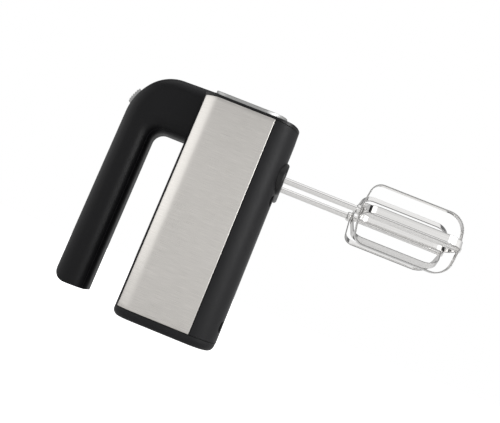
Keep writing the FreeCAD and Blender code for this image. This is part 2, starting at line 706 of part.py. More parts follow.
def worm_wheel(side):
    """Helical wheel with straight-sided teeth, lofted between two turned tooth outlines."""
    root_r = WHEEL_PITCH_R - 1.2
    tip_r = WHEEL_PITCH_R + 0.95
    step = 2 * math.pi / WHEEL_TEETH
    mid_half = step * TOOTH_SHARE / 2
    slope = math.tan(math.radians(20)) / WHEEL_PITCH_R
    root_half = mid_half + 1.2 * slope
    tip_half = mid_half - 0.95 * slope
    lead_slope = WORM_LEAD / (2 * math.pi * WORM_PITCH_R)
    half_twist = lead_slope / WHEEL_PITCH_R * WHEEL_WIDTH / 2
    tooth_outline = [(root_r, -root_half), (tip_r, -tip_half), (tip_r, tip_half), (root_r, root_half)]
    rings = []
    for end in (-1, 1):
        points = []
        for tooth in range(WHEEL_TEETH):
            centre = (tooth + 0.5) * step + end * half_twist
            for radius, offset in tooth_outline:
                angle = centre + offset
                points.append(V(
                    MOTOR_X + end * WHEEL_WIDTH / 2,
                    side * HALF_SPACING + radius * math.cos(angle),
                    BEATER_Z + radius * math.sin(angle),
                ))
        points.append(points[0])
        rings.append(Part.makePolygon(points))
    wheel = Part.makeLoft(rings, True, True)
    start = V(MOTOR_X - WHEEL_WIDTH / 2 - 1, side * HALF_SPACING, BEATER_Z)
    for end_x in (MOTOR_X - WHEEL_WIDTH / 2, MOTOR_X + WHEEL_WIDTH / 2 - 2.0):
        wheel = wheel.cut(tube(12.5, 8.0, V(end_x, side * HALF_SPACING, BEATER_Z), 2.0, X_AXIS))
    return wheel.cut(rod(SPINDLE_R, start, WHEEL_WIDTH + 2, X_AXIS))


SPINDLE_X0 = -13.4
SPINDLE_X1 = 40.4
LUG_X0 = 31.0
LUG_X1 = 39.0
BEATER_BUTT_X = 10.1


def spindle(side):
    centre = V(SPINDLE_X0, side * HALF_SPACING, BEATER_Z)
    body = tube(SPINDLE_R, SOCKET_R, centre, SPINDLE_X1 - SPINDLE_X0, X_AXIS)
    turn = 0 if side < 0 else 45
    for quarter in range(4):
        slot = box(LUG_X0 - 0.8, SPINDLE_X1 + 1, -0.85, 0.85, SOCKET_R - 0.5, SPINDLE_R + 1)
        slot.rotate(V(0, 0, 0), X_AXIS, turn + 90 * quarter)
        slot.translate(V(0, side * HALF_SPACING, BEATER_Z))
        body = body.cut(slot)
    return body


def build_gearbox():
    for name, side in (("a", -1), ("b", 1)):
        export("worm_wheel_" + name, worm_wheel(side))
        export("spindle_" + name, spindle(side))
        pin_x0 = PLATE_X1 + 0.1
        pin_length = BEATER_BUTT_X - 0.1 - pin_x0
        pin = rod(SOCKET_R - 0.08, V(pin_x0, side * HALF_SPACING, BEATER_Z), pin_length, X_AXIS)
        export("pusher_pin_" + name, pin)

    case = box(-10, 12, -33, 33, CASE_BOTTOM, CASE_TOP)
    case = case.cut(box(-10, 8, -40, 40, CASE_BOTTOM + 4, CASE_TOP - 4))
    lid = box(-13.5, -10, -33, 33, CASE_BOTTOM, CASE_TOP)
    lid_bushes = []
    case_bushes = []
    for side in (-1, 1):
        y = side * HALF_SPACING
        case = case.cut(rod(8.0, V(0, y, BEATER_Z), 20, X_AXIS))
        case = case.fuse(rod(4.0, V(8, side * SCREW_Y, SCREW_ZS[1]), BOSS_FLOOR_X - 3.1 - 8, X_AXIS))
        case = case.cut(rod(1.95, V(0, side * SCREW_Y, SCREW_ZS[1]), 30, X_AXIS))
        lid = lid.cut(rod(7.0, V(-20, y, BEATER_Z), 20, X_AXIS))
        case_bushes.append(tube(8.0, SPINDLE_R + 0.05, V(6.0, y, BEATER_Z), 8.0, X_AXIS))
        lid_bushes.append(tube(7.0, SPINDLE_R + 0.05, V(-13.0, y, BEATER_Z), 5.0, X_AXIS))
    for y in (-30.0, 30.0):
        for z in (CASE_BOTTOM + 2, CASE_TOP - 2):
            case = case.cut(rod(1.2, V(-10.5, y, z), 9.0, X_AXIS))
            lid = lid.cut(rod(1.5, V(-14.0, y, z), 5.0, X_AXIS))
    case = case.cut(rod(6.0, V(MOTOR_X, 0, CASE_BOTTOM - 1), 6.0, Z_AXIS))
    case = case.cut(rod(5.0, V(MOTOR_X, 0, CASE_TOP - 5), 6.0, Z_AXIS))
    export("gear_case", case)
    export("gear_case_lid", lid)
    export("spindle_bushes_front", Part.makeCompound(case_bushes))
    export("spindle_bushes_rear", Part.makeCompound(lid_bushes))
    shaft_bushes = [
        tube(6.0, SHAFT_R + 0.05, V(MOTOR_X, 0, CASE_BOTTOM), 4.0, Z_AXIS),
        tube(5.0, SHAFT_R + 0.05, V(MOTOR_X, 0, CASE_TOP - 4), 4.0, Z_AXIS),
    ]
    export("shaft_bushes", Part.makeCompound(shaft_bushes))
    lid_screws = []
    for y in (-30.0, 30.0):
        for z in (CASE_BOTTOM + 2, CASE_TOP - 2):
            shank = rod(1.15, V(-14.0, y, z), 11.5, X_AXIS)
            lid_screws.append(shank.fuse(rod(2.0, V(-15.0, y, z), 1.4, X_AXIS)))
    export("gear_case_screws", Part.makeCompound(lid_screws))

    case_screws = []
    for z in SCREW_ZS:
        for side in (-1, 1):
            case_screws.append(case_screw(V(BOSS_FLOOR_X - 14, side * SCREW_Y, z)))
    export("case_screws", Part.makeCompound(case_screws))


# ---------------------------------------------------------------- electrics
def build_electrics():
    switch_block = box(-86.0, -76.0, -7.0, 7.0, 128.0, 146.0)
    export("speed_switch", switch_block)
    board = box(-84.5, -82.9, -11.0, 11.0, 70.0, 120.0)
    export("control_board", board)
    capacitor = box(-82.8, -75.0, -6.0, 6.0, 80.0, 96.0)
    export("suppressor_capacitor", capacitor)


# ---------------------------------------------------------------- beaters
def blade_loop(start_x, tip_x, radius):
    """Flat strip bent into a closed loop in the XZ plane about the X axis, square at the
    shaft end and rounder at the tip."""
    corners = [
        (start_x, -3.0, 0),
        (start_x + 3.5, -radius, 9.0),
        (tip_x - 3.0, -radius, 15.0),
        (tip_x, -3.0, 0),
        (tip_x, 3.0, 0),
        (tip_x - 3.0, radius, 15.0),
        (start_x + 3.5, radius, 9.0),
        (start_x, 3.0, 0),
    ]
    half = STRIP_WIDTH / 2
    outer = slab(corners, on_y(-half), V(0, STRIP_WIDTH, 0))
    inner = slab(inset_corners(corners, STRIP_THICKNESS), on_y(-half), V(0, STRIP_WIDTH, 0))
    loop = outer.cut(inner)
    return loop.cut(rod(BEATER_SHAFT_R, V(start_x - 5, 0, 0), tip_x - start_x + 10, X_AXIS))


def build_beaters():
    for name, side in (("a", -1), ("b", 1)):
        base = V(0, side * HALF_SPACING, BEATER_Z)
        turn = 0 if side < 0 else 45
        shaft = rod(BEATER_SHAFT_R, V(BEATER_BUTT_X, 0, 0), CAGE_TIP_X - 0.3 - BEATER_BUTT_X, X_AXIS)
        for quarter in range(4):
            lug = box(LUG_X0, LUG_X1, -0.7, 0.7, 1.0, 4.3)
            lug.rotate(V(0, 0, 0), X_AXIS, 90 * quarter)
            shaft = shaft.fuse(lug)
        shaft = shaft.fuse(rod(3.6, V(CAGE_START_X - 2.6, 0, 0), 2.5, X_AXIS))
        loops = [
            blade_loop(CAGE_START_X, CAGE_TIP_X - 1.3, CAGE_R),
            blade_loop(CAGE_START_X + 1.3, CAGE_TIP_X - 2.6, CAGE_R),
        ]
        loops[1].rotate(V(0, 0, 0), X_AXIS, 90)
        for part_name, part in (("shaft", shaft), ("loop_1", loops[0]), ("loop_2", loops[1])):
            part.rotate(V(0, 0, 0), X_AXIS, turn)
            part.translate(base)
            export("beater_" + name + "_" + part_name, part)


build_handle()
build_selector()
build_ejector()
build_eject_button()
build_eject_spring()
build_front()
build_casing()
build_motor()
build_worm_shaft()
build_gearbox()
build_electrics()
build_beaters()
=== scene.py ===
"""A hand mixer: open C handle, steel-sided body, two flat-strip beaters and a worm gearbox.

Everything is in metres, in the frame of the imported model. +Z runs from the heel to the front,
+X along the beaters, and -X is the handle side.
"""
import math

import bpy
import numpy as np
from mathutils import Matrix, Vector


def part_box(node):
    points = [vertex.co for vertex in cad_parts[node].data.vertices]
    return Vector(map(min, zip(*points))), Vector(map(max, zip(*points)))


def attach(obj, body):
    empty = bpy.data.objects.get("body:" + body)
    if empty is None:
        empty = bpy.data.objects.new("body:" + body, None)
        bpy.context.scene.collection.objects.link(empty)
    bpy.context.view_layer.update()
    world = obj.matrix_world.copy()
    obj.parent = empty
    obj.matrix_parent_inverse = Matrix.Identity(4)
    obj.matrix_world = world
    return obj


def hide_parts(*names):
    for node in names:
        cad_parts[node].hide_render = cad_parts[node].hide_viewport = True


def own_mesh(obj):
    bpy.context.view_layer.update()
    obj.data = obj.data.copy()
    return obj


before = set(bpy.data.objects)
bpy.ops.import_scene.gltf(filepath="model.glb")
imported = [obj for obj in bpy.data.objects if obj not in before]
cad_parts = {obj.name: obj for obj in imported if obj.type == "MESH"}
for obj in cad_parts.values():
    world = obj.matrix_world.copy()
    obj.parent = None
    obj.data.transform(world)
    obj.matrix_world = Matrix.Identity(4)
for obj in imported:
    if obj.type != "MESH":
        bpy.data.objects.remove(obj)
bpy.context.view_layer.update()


# ---------------------------------------------------------------- handle
# The handle is a hollow C-shaped moulding in near-black satin plastic, closed on its inner
# side by a snapped-in cover, so one fine parting line runs round the finger side. Its skin
# is lightly spark-textured, and the long edges are rubbed a little paler.
def start_finish(name):
    """An empty material: its node tree, its shader and the Object coordinates for patterns."""
    finish = bpy.data.materials.new(name)
    finish.use_nodes = True
    tree = finish.node_tree
    place = tree.nodes.new("ShaderNodeTexCoord").outputs["Object"]
    return finish, tree, tree.nodes["Principled BSDF"], place


def grain(tree, place, size, detail=3.0):
    """Noise whose cells measure `size` metres along X, Y and Z."""
    stretch = tree.nodes.new("ShaderNodeMapping")
    stretch.inputs["Scale"].default_value = [1.0 / length for length in size]
    tree.links.new(place, stretch.inputs["Vector"])
    noise = tree.nodes.new("ShaderNodeTexNoise")
    noise.inputs["Scale"].default_value = 1.0
    noise.inputs["Detail"].default_value = detail
    tree.links.new(stretch.outputs["Vector"], noise.inputs["Vector"])
    return noise.outputs["Fac"]


def remap(tree, value, low, high, start=0.3, end=0.7):
    """The value from start..end carried on to low..high."""
    ranged = tree.nodes.new("ShaderNodeMapRange")
    for socket, number in (("From Min", start), ("From Max", end), ("To Min", low), ("To Max", high)):
        ranged.inputs[socket].default_value = number
    tree.links.new(value, ranged.inputs["Value"])
    return ranged.outputs["Result"]


def blend_colours(tree, amount, first, second):
    """A colour between two colours or colour sockets, by a socket from 0 to 1."""
    mix = tree.nodes.new("ShaderNodeMix")
    mix.data_type = "RGBA"
    tree.links.new(amount, mix.inputs["Factor"])
    for socket, colour in ((mix.inputs[6], first), (mix.inputs[7], second)):
        if isinstance(colour, bpy.types.NodeSocket):
            tree.links.new(colour, socket)
        else:
            socket.default_value = (*colour, 1.0)
    return mix.outputs[2]


def eased_edges(tree, radius):
    """The normal rounded over hard edges, and how near each point is to one, from 0 to 1."""
    eased = tree.nodes.new("ShaderNodeBevel")
    eased.samples = 4
    eased.inputs["Radius"].default_value = radius
    flat = tree.nodes.new("ShaderNodeNewGeometry")
    agreement = tree.nodes.new("ShaderNodeVectorMath")
    agreement.operation = "DOT_PRODUCT"
    tree.links.new(eased.outputs["Normal"], agreement.inputs[0])
    tree.links.new(flat.outputs["Normal"], agreement.inputs[1])
    return eased.outputs["Normal"], remap(tree, agreement.outputs["Value"], 1.0, 0.0, 0.80, 0.99)


def relief(tree, shader, height, depth, normal=None):
    """Bump of the given depth in metres on the shader, over an eased normal if there is one."""
    bump = tree.nodes.new("ShaderNodeBump")
    bump.inputs["Strength"].default_value = 1.0
    bump.inputs["Distance"].default_value = depth
    tree.links.new(height, bump.inputs["Height"])
    if normal is not None:
        tree.links.new(normal, bump.inputs["Normal"])
    tree.links.new(bump.outputs["Normal"], shader.inputs["Normal"])


def shade(colour, factor):
    """The colour made darker or paler by a factor."""
    return tuple(min(1.0, part * factor) for part in colour)


def moulded(name, colour, roughness, specular, cell=0.0006, depth=0.000016, worn=1.6):
    """Spark-textured plastic: cloudy tone, uneven gloss, fine pits and paler rubbed edges.

    `cell` and `depth` are the size and depth of the pits, and `worn` is how much paler an
    edge gets where hands rub it.
    """
    finish, tree, shader, place = start_finish(name)
    clouds = grain(tree, place, (0.03, 0.03, 0.03), 4.0)
    pits = grain(tree, place, (cell, cell, cell), 2.0)
    rubbed = grain(tree, place, (0.006, 0.006, 0.006), 4.0)
    normal, edge = eased_edges(tree, 0.0005)
    tone = blend_colours(tree, remap(tree, clouds, 0.0, 1.0), shade(colour, 0.88), shade(colour, 1.12))
    wear = tree.nodes.new("ShaderNodeMath")
    wear.operation = "MULTIPLY"
    tree.links.new(edge, wear.inputs[0])
    tree.links.new(remap(tree, rubbed, 0.2, 1.0), wear.inputs[1])
    tone = blend_colours(tree, wear.outputs[0], tone, shade(colour, worn))
    tree.links.new(tone, shader.inputs["Base Color"])
    gloss = tree.nodes.new("ShaderNodeMath")
    gloss.operation = "ADD"
    tree.links.new(remap(tree, pits, roughness - 0.05, roughness + 0.05), gloss.inputs[0])
    tree.links.new(remap(tree, clouds, -0.04, 0.04), gloss.inputs[1])
    tree.links.new(gloss.outputs[0], shader.inputs["Roughness"])
    shader.inputs["Specular IOR Level"].default_value = specular
    relief(tree, shader, pits, depth, normal)
    return finish


def dress(finish, *names):
    """Put a finish in every material slot of the named CAD nodes."""
    for name in names:
        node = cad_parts[name]
        for slot in node.material_slots:
            slot.material = finish


handle_satin = moulded("handle_satin_black", (0.0050, 0.0050, 0.0058), 0.38, 0.21, worn=2.2)
dress(handle_satin, "handle_shell", "handle_cover", "upper_shell")


# ---------------------------------------------------------------- speed selector
# A thumb slide of injection-moulded plastic in satin silver paint, with five finger ridges.
# It runs round the handle's bend on a grey carriage inside; the ridge crests show wear.
def satin_paint(name, colour, roughness):
    """Fine metallic paint: small flakes, faint orange peel and brighter rubbed edges."""
    finish, tree, shader, place = start_finish(name)
    flakes = grain(tree, place, (0.00015, 0.00015, 0.00015), 2.0)
    peel = grain(tree, place, (0.0012, 0.0012, 0.0012), 2.0)
    normal, edge = eased_edges(tree, 0.0004)
    tone = blend_colours(tree, remap(tree, flakes, 0.0, 1.0), shade(colour, 0.85), shade(colour, 1.1))
    tone = blend_colours(tree, edge, tone, shade(colour, 1.25))
    tree.links.new(tone, shader.inputs["Base Color"])
    tree.links.new(remap(tree, flakes, roughness - 0.08, roughness + 0.08), shader.inputs["Roughness"])
    shader.inputs["Metallic"].default_value = 0.75
    relief(tree, shader, peel, 0.000012, normal)
    return finish


dress(satin_paint("selector_satin_silver", (0.46, 0.46, 0.455), 0.36), "speed_selector")
inner_grey = moulded("inner_grey_plastic", (0.30, 0.30, 0.29), 0.5, 0.4, cell=0.0009, worn=1.3)
dress(inner_grey, "selector_carriage", "speed_switch")


# ---------------------------------------------------------------- eject button and ejector
# The beaters are pushed out by a semi-gloss black button in the top of the arm. Its 45 degree
# foot drives a grey acetal rod and cross plate forward against a wound steel spring, which
# has closed ends and shortens against the gear case's lid.
def ground_steel(name, colour, roughness, direction):
    """Ground or drawn metal: fine scratches along X, Y or Z (0, 1 or 2) and slight stains."""
    finish, tree, shader, place = start_finish(name)
    scratch_width = 0.00012
    scratch_length = 0.02
    size = [scratch_width] * 3
    size[direction] = scratch_length
    scratches = grain(tree, place, size, 3.0)
    stains = grain(tree, place, (0.008, 0.008, 0.008), 4.0)
    normal, edge = eased_edges(tree, 0.0003)
    tone = blend_colours(tree, remap(tree, scratches, 0.0, 1.0), shade(colour, 0.9), shade(colour, 1.06))
    tone = blend_colours(tree, remap(tree, stains, 0.0, 0.3), tone, shade(colour, 0.75))
    tone = blend_colours(tree, edge, tone, shade(colour, 1.15))
    tree.links.new(tone, shader.inputs["Base Color"])
    tree.links.new(remap(tree, scratches, roughness - 0.07, roughness + 0.07), shader.inputs["Roughness"])
    shader.inputs["Metallic"].default_value = 1.0
    relief(tree, shader, scratches, 0.000006, normal)
    return finish


button_gloss = moulded(
    "button_semi_gloss", (0.0045, 0.0045, 0.005), 0.28, 0.30, cell=0.0010, depth=0.000008
)
dress(button_gloss, "eject_button")
dress(inner_grey, "ejector_plate", "ejector_rod")


def put_mesh(name, points, faces):
    """A mesh object at the origin from an array of points and a list of faces, smooth-shaded."""
    mesh = bpy.data.meshes.new(name)
    mesh.from_pydata(points.tolist(), [], faces)
    mesh.polygons.foreach_set("use_smooth", [True] * len(mesh.polygons))
    mesh.update()
    piece = bpy.data.objects.new(name, mesh)
    bpy.context.scene.collection.objects.link(piece)
    return piece


def grid_faces(rows, columns, close_rows=False, close_columns=False, flip=False):
    """Quads of a grid numbered row by row, joined round at either end if asked."""
    row = np.arange(rows if close_rows else rows - 1)
    column = np.arange(columns if close_columns else columns - 1)
    i, j = [a.ravel() for a in np.meshgrid(row, column, indexing="ij")]
    after_i, after_j = (i + 1) % rows, (j + 1) % columns
    corners = (i * columns + j, after_i * columns + j, after_i * columns + after_j, i * columns + after_j)
    quads = np.stack(corners[::-1] if flip else corners, axis=1)
    return quads.tolist()


def wound_spring(name, start, end, coil_radius, wire_radius, turns):
    """Round wire wound about a line along X, with its end turns closed up.

    At the share t of its length the wire's centre has turned by 2 pi turns t about the line,
    and its x runs from start to end as smoothstep(t), which lays the end turns flat. The
    wire's round faces point inwards and its two end caps outwards.
    """
    steps_per_turn = 40
    round_steps = 12
    t = np.linspace(0.0, 1.0, steps_per_turn * turns)
    phase = np.linspace(0.0, 2 * np.pi, round_steps, endpoint=False)
    swing = 2 * np.pi * turns * t
    radius = coil_radius + wire_radius * np.cos(phase)
    x = start.x + wire_radius + (end.x - start.x - 2 * wire_radius) * t * t * (3 - 2 * t)
    x = x[:, None] + wire_radius * np.sin(phase)[None, :]
    y = start.y + radius[None, :] * np.cos(swing)[:, None]
    z = start.z + radius[None, :] * np.sin(swing)[:, None]
    points = np.stack([x, y, z], axis=-1).reshape(-1, 3)
    last = (len(t) - 1) * round_steps
    end_caps = [list(range(round_steps)), list(range(last, last + round_steps))[::-1]]
    faces = grid_faces(len(t), round_steps, close_columns=True, flip=True) + end_caps
    return put_mesh(name, points, faces)


spring_wire = ground_steel("spring_wire", (0.55, 0.55, 0.56), 0.25, 0)
spring_low, spring_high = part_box("eject_spring")
spring_middle = (spring_low + spring_high) / 2
seat_a = Vector((spring_low.x, spring_middle.y, spring_middle.z))
seat_b = Vector((spring_high.x, spring_middle.y, spring_middle.z))
coil_radius = 0.0034
wire_radius = 0.00045
spring = wound_spring("eject_spring_wire", seat_a, seat_b, coil_radius, wire_radius, 4)
spring.data.materials.append(spring_wire)
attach(spring, "casing")
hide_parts("eject_spring")
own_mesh(spring)


# ---------------------------------------------------------------- front bezel and plate
# A semi-gloss black ring closes the front of the body and takes the end of the arm. A thin
# crowned plate of satin stainless steel is let into it, brushed across the body.
dress(button_gloss, "front_bezel")


def brushed_plate(name, colour, roughness):
    """Sheet steel brushed along Y: long hair lines, shallow and slightly uneven."""
    finish, tree, shader, place = start_finish(name)
    hairs = grain(tree, place, (0.00018, 0.03, 0.00018), 4.0)
    drift = grain(tree, place, (0.02, 0.05, 0.02), 2.0)
    normal, edge = eased_edges(tree, 0.0004)
    tone = blend_colours(tree, remap(tree, hairs, 0.0, 1.0), shade(colour, 0.9), shade(colour, 1.08))
    tone = blend_colours(tree, remap(tree, drift, 0.0, 0.25), tone, shade(colour, 0.85))
    tone = blend_colours(tree, edge, tone, shade(colour, 0.95))
    tree.links.new(tone, shader.inputs["Base Color"])
    tree.links.new(remap(tree, hairs, roughness - 0.06, roughness + 0.08), shader.inputs["Roughness"])
    shader.inputs["Metallic"].default_value = 1.0
    relief(tree, shader, hairs, 0.000005, normal)
    return finish


dress(brushed_plate("front_plate_steel", (0.47, 0.47, 0.465), 0.38), "front_plate")


# ---------------------------------------------------------------- body shells and heel cap
# Two mouldings carry the motor and gearbox: one in the handle's black, hidden but for its
# spine between the steel sides, and a charcoal one that forms the face. A charcoal cap
# closes the heel. The charcoal's texture is a little coarser than the handle's.
shell_charcoal = moulded("shell_charcoal", (0.0115, 0.0115, 0.0125), 0.44, 0.21, cell=0.0008, depth=0.00002)
dress(shell_charcoal, "lower_shell", "heel_cap")


# ---------------------------------------------------------------- side panels
# Each side is a sheet of 1 mm stainless steel, wrapped round the handle-side corner and
# clipped to the shell. It is brushed across its width, and its cut edges are eased bright.
def panel_sheet(name, node, side):
    """The outer skin of a wrapped sheet, thickened inwards by modifiers.

    A point is (s, z): s is the distance along the section, first flat from the front edge to
    the corner's start and then round the corner's arc; z runs up the body. At the angle a
    round the arc, the point is radius * sin(a) back and radius * (1 - cos(a)) in.
    """
    low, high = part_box(node)
    half_width = max(abs(low.y), abs(high.y))
    wrap_edge = min(abs(low.y), abs(high.y))
    body_back_x = -0.040
    corner_radius = 0.016
    corner_x = body_back_x + corner_radius
    wrap_angle = math.acos(1 - (half_width - wrap_edge) / corner_radius)
    flat_length = high.x - corner_x
    section_length = flat_length + corner_radius * wrap_angle
    steps_along = 72
    steps_up = 60
    s = np.linspace(0.0, section_length, steps_along)
    z = np.linspace(low.z, high.z, steps_up)
    s, z = np.meshgrid(s, z, indexing="ij")
    angle = np.clip((s - flat_length) / corner_radius, 0.0, wrap_angle)
    x = np.where(s < flat_length, high.x - s, corner_x - corner_radius * np.sin(angle))
    depth = half_width - corner_radius * (1 - np.cos(angle))
    points = np.stack([x, side * depth, z], axis=-1).reshape(-1, 3)
    sheet = put_mesh(name, points, grid_faces(steps_along, steps_up, flip=side > 0))
    along_sheet = sheet.data.uv_layers.new(name="sheet")
    corner_vertex = np.zeros(len(sheet.data.loops), int)
    sheet.data.loops.foreach_get("vertex_index", corner_vertex)
    places = np.stack([s.ravel(), z.ravel()], axis=1)[corner_vertex]
    along_sheet.data.foreach_set("uv", places.ravel())
    wall = sheet.modifiers.new("wall", "SOLIDIFY")
    wall.thickness = 0.00095
    wall.offset = -1
    eased = sheet.modifiers.new("eased_edges", "BEVEL")
    eased.width = 0.00042
    eased.segments = 3
    eased.limit_method = "ANGLE"
    eased.angle_limit = math.radians(60)
    return sheet


def brushed_sheet(name, colour):
    """Brushed stainless steel that follows the sheet's own map: hair lines along its width."""
    finish, tree, shader, _ = start_finish(name)
    sheet_map = tree.nodes.new("ShaderNodeUVMap")
    sheet_map.uv_map = "sheet"
    place = sheet_map.outputs["UV"]
    hairs = grain(tree, place, (0.012, 0.00014, 1.0), 5.0)
    bands = grain(tree, place, (0.05, 0.0022, 1.0), 3.0)
    smear = grain(tree, place, (0.035, 0.05, 1.0), 2.0)
    tone = blend_colours(tree, remap(tree, hairs, 0.0, 1.0), shade(colour, 0.76), shade(colour, 1.16))
    tone = blend_colours(tree, remap(tree, bands, 0.0, 0.5), tone, shade(colour, 0.88))
    tone = blend_colours(tree, remap(tree, smear, 0.0, 0.35), tone, shade(colour, 1.05))
    tree.links.new(tone, shader.inputs["Base Color"])
    gloss = tree.nodes.new("ShaderNodeMath")
    gloss.operation = "ADD"
    tree.links.new(remap(tree, hairs, 0.27, 0.37), gloss.inputs[0])
    tree.links.new(remap(tree, smear, -0.02, 0.02), gloss.inputs[1])
    tree.links.new(gloss.outputs[0], shader.inputs["Roughness"])
    shader.inputs["Metallic"].default_value = 1.0
    relief(tree, shader, hairs, 0.000006)
    return finish


panel_brushed = brushed_sheet("panel_brushed_steel", (0.735, 0.71, 0.675))
for side_name, side in (("near", -1), ("far", 1)):
    panel = panel_sheet("side_panel_" + side_name + "_sheet", "side_panel_" + side_name, side)
    panel.data.materials.append(panel_brushed)
    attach(panel, "casing")
    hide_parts("side_panel_" + side_name)


# ---------------------------------------------------------------- collar, gland and case screws
# A black lens-shaped boss on the face holds the mouths of both sockets. The lead's rubber
# gland sits beside the handle, and four zinc-plated screws are sunk in deep round recesses.
collar_black = moulded("collar_black", (0.0075, 0.0075, 0.008), 0.34, 0.40, cell=0.0007)
dress(collar_black, "collar")
gland_rubber = moulded(
    "gland_rubber", (0.012, 0.012, 0.012), 0.62, 0.25, cell=0.0004, depth=0.00003, worn=1.3
)
dress(gland_rubber, "cord_gland")


def plated(name, colour, roughness):
    """Zinc plate: a blotchy, slightly yellow crystal bloom under a dull shine."""
    finish, tree, shader, place = start_finish(name)
    bloom = grain(tree, place, (0.0016, 0.0016, 0.0016), 5.0)
    crystals = grain(tree, place, (0.0002, 0.0002, 0.0002), 2.0)
    normal, edge = eased_edges(tree, 0.0002)
    tone = blend_colours(tree, remap(tree, bloom, 0.0, 1.0), colour, (0.62, 0.60, 0.50))
    tone = blend_colours(tree, edge, tone, shade(colour, 1.3))
    tree.links.new(tone, shader.inputs["Base Color"])
    tree.links.new(remap(tree, bloom, roughness - 0.1, roughness + 0.12), shader.inputs["Roughness"])
    shader.inputs["Metallic"].default_value = 1.0
    relief(tree, shader, crystals, 0.000006, normal)
    return finish


zinc = plated("zinc_plate", (0.58, 0.59, 0.60), 0.35)
dress(zinc, "case_screws", "gear_case_screws", "motor_bolts")


# ---------------------------------------------------------------- motor
# A two-pole universal motor: a varnished stack of thin steel plates with copper field coils,
# and a wound armature with a copper commutator, carbon brushes in brass tubes and a fan.
def layered(name, colour, dark, pitch, metallic, roughness):
    """Thin layers stacked along Z, such as laminations or turns of wire, each with a dark gap."""
    finish, tree, shader, place = start_finish(name)
    layers = tree.nodes.new("ShaderNodeTexWave")
    layers.bands_direction = "Z"
    pitch_at_scale_one = math.pi / 10
    layers.inputs["Scale"].default_value = pitch_at_scale_one / pitch
    layers.inputs["Distortion"].default_value = 0.4
    layers.inputs["Detail"].default_value = 1.0
    tree.links.new(place, layers.inputs["Vector"])
    film = grain(tree, place, (0.004, 0.004, 0.004), 4.0)
    tone = blend_colours(tree, layers.outputs["Fac"], dark, colour)
    tone = blend_colours(tree, remap(tree, film, 0.0, 0.4), tone, shade(colour, 0.6))
    tree.links.new(tone, shader.inputs["Base Color"])
    tree.links.new(remap(tree, film, roughness - 0.08, roughness + 0.12), shader.inputs["Roughness"])
    shader.inputs["Metallic"].default_value = metallic
    relief(tree, shader, layers.outputs["Fac"], 0.00006)
    return finish


laminations = layered("lamination_stack", (0.26, 0.26, 0.27), (0.07, 0.06, 0.05), 0.0005, 0.9, 0.4)
dress(laminations, "field_stack", "rotor_core")
copper_turns = layered("enamelled_turns", (0.52, 0.20, 0.07), (0.12, 0.03, 0.01), 0.00045, 0.7, 0.3)
dress(copper_turns, "field_coils", "rotor_windings")
dress(ground_steel("commutator_copper", (0.66, 0.33, 0.18), 0.28, 2), "commutator")
carbon = moulded("pressed_carbon", (0.018, 0.018, 0.019), 0.6, 0.3, cell=0.0003, depth=0.00003, worn=2.0)
dress(carbon, "carbon_brushes")
dress(ground_steel("stamped_brass", (0.68, 0.50, 0.20), 0.3, 1), "brush_holders")
fan_plastic = moulded("fan_plastic", (0.055, 0.055, 0.06), 0.4, 0.4, cell=0.0012, worn=1.8)
dress(fan_plastic, "cooling_fan")
frame_plastic = moulded("motor_frame_plastic", (0.16, 0.16, 0.165), 0.52, 0.4, cell=0.0008, worn=1.4)
dress(frame_plastic, "end_bracket", "motor_mount")


# ---------------------------------------------------------------- gearbox
# The motor's steel shaft carries a two-start worm between two natural nylon wheels, which
# turn the steel sockets. The box is glass-filled grey plastic with sintered bronze bushes.
def sintered(name, colour):
    """Porous oil-soaked bronze: speckled pores and dark oily patches."""
    finish, tree, shader, place = start_finish(name)
    pores = tree.nodes.new("ShaderNodeTexVoronoi")
    pores_per_metre = 3500.0
    pores.inputs["Scale"].default_value = pores_per_metre
    tree.links.new(place, pores.inputs["Vector"])
    oil = grain(tree, place, (0.003, 0.003, 0.003), 4.0)
    pitted = remap(tree, pores.outputs["Distance"], 0.0, 1.0, 0.05, 0.4)
    tone = blend_colours(tree, pitted, shade(colour, 0.45), colour)
    tone = blend_colours(tree, remap(tree, oil, 0.0, 0.6), tone, shade(colour, 0.5))
    tree.links.new(tone, shader.inputs["Base Color"])
    tree.links.new(remap(tree, oil, 0.28, 0.55), shader.inputs["Roughness"])
    shader.inputs["Metallic"].default_value = 1.0
    relief(tree, shader, pitted, 0.00002)
    return finish


def natural_nylon(name, colour):
    """Cream nylon: waxy, slightly translucent, with faint flow clouds."""
    finish, tree, shader, place = start_finish(name)
    flow = grain(tree, place, (0.009, 0.004, 0.009), 4.0)
    skin = grain(tree, place, (0.0007, 0.0007, 0.0007), 2.0)
    normal, edge = eased_edges(tree, 0.0002)
    tone = blend_colours(tree, remap(tree, flow, 0.0, 1.0), shade(colour, 0.92), shade(colour, 1.05))
    tone = blend_colours(tree, edge, tone, shade(colour, 1.15))
    tree.links.new(tone, shader.inputs["Base Color"])
    tree.links.new(remap(tree, skin, 0.36, 0.48), shader.inputs["Roughness"])
    shader.inputs["Subsurface Weight"].default_value = 0.15
    shader.inputs["Subsurface Scale"].default_value = 0.001
    relief(tree, shader, skin, 0.00001, normal)
    return finish


dress(ground_steel("ground_shaft", (0.58, 0.58, 0.60), 0.2, 2), "worm_shaft")
dress(natural_nylon("natural_nylon", (0.74, 0.70, 0.60)), "worm_wheel_a", "worm_wheel_b")
turned_steel = ground_steel("turned_socket_steel", (0.56, 0.56, 0.58), 0.22, 0)
dress(turned_steel, "spindle_a", "spindle_b", "pusher_pin_a", "pusher_pin_b")
bronze = sintered("sintered_bronze", (0.56, 0.38, 0.18))
dress(bronze, "rear_bush", "spindle_bushes_front", "spindle_bushes_rear", "shaft_bushes")
filled_grey = moulded(
    "glass_filled_grey", (0.22, 0.22, 0.215), 0.55, 0.4, cell=0.0011, depth=0.00003, worn=1.4
)
dress(filled_grey, "gear_case", "gear_case_lid")


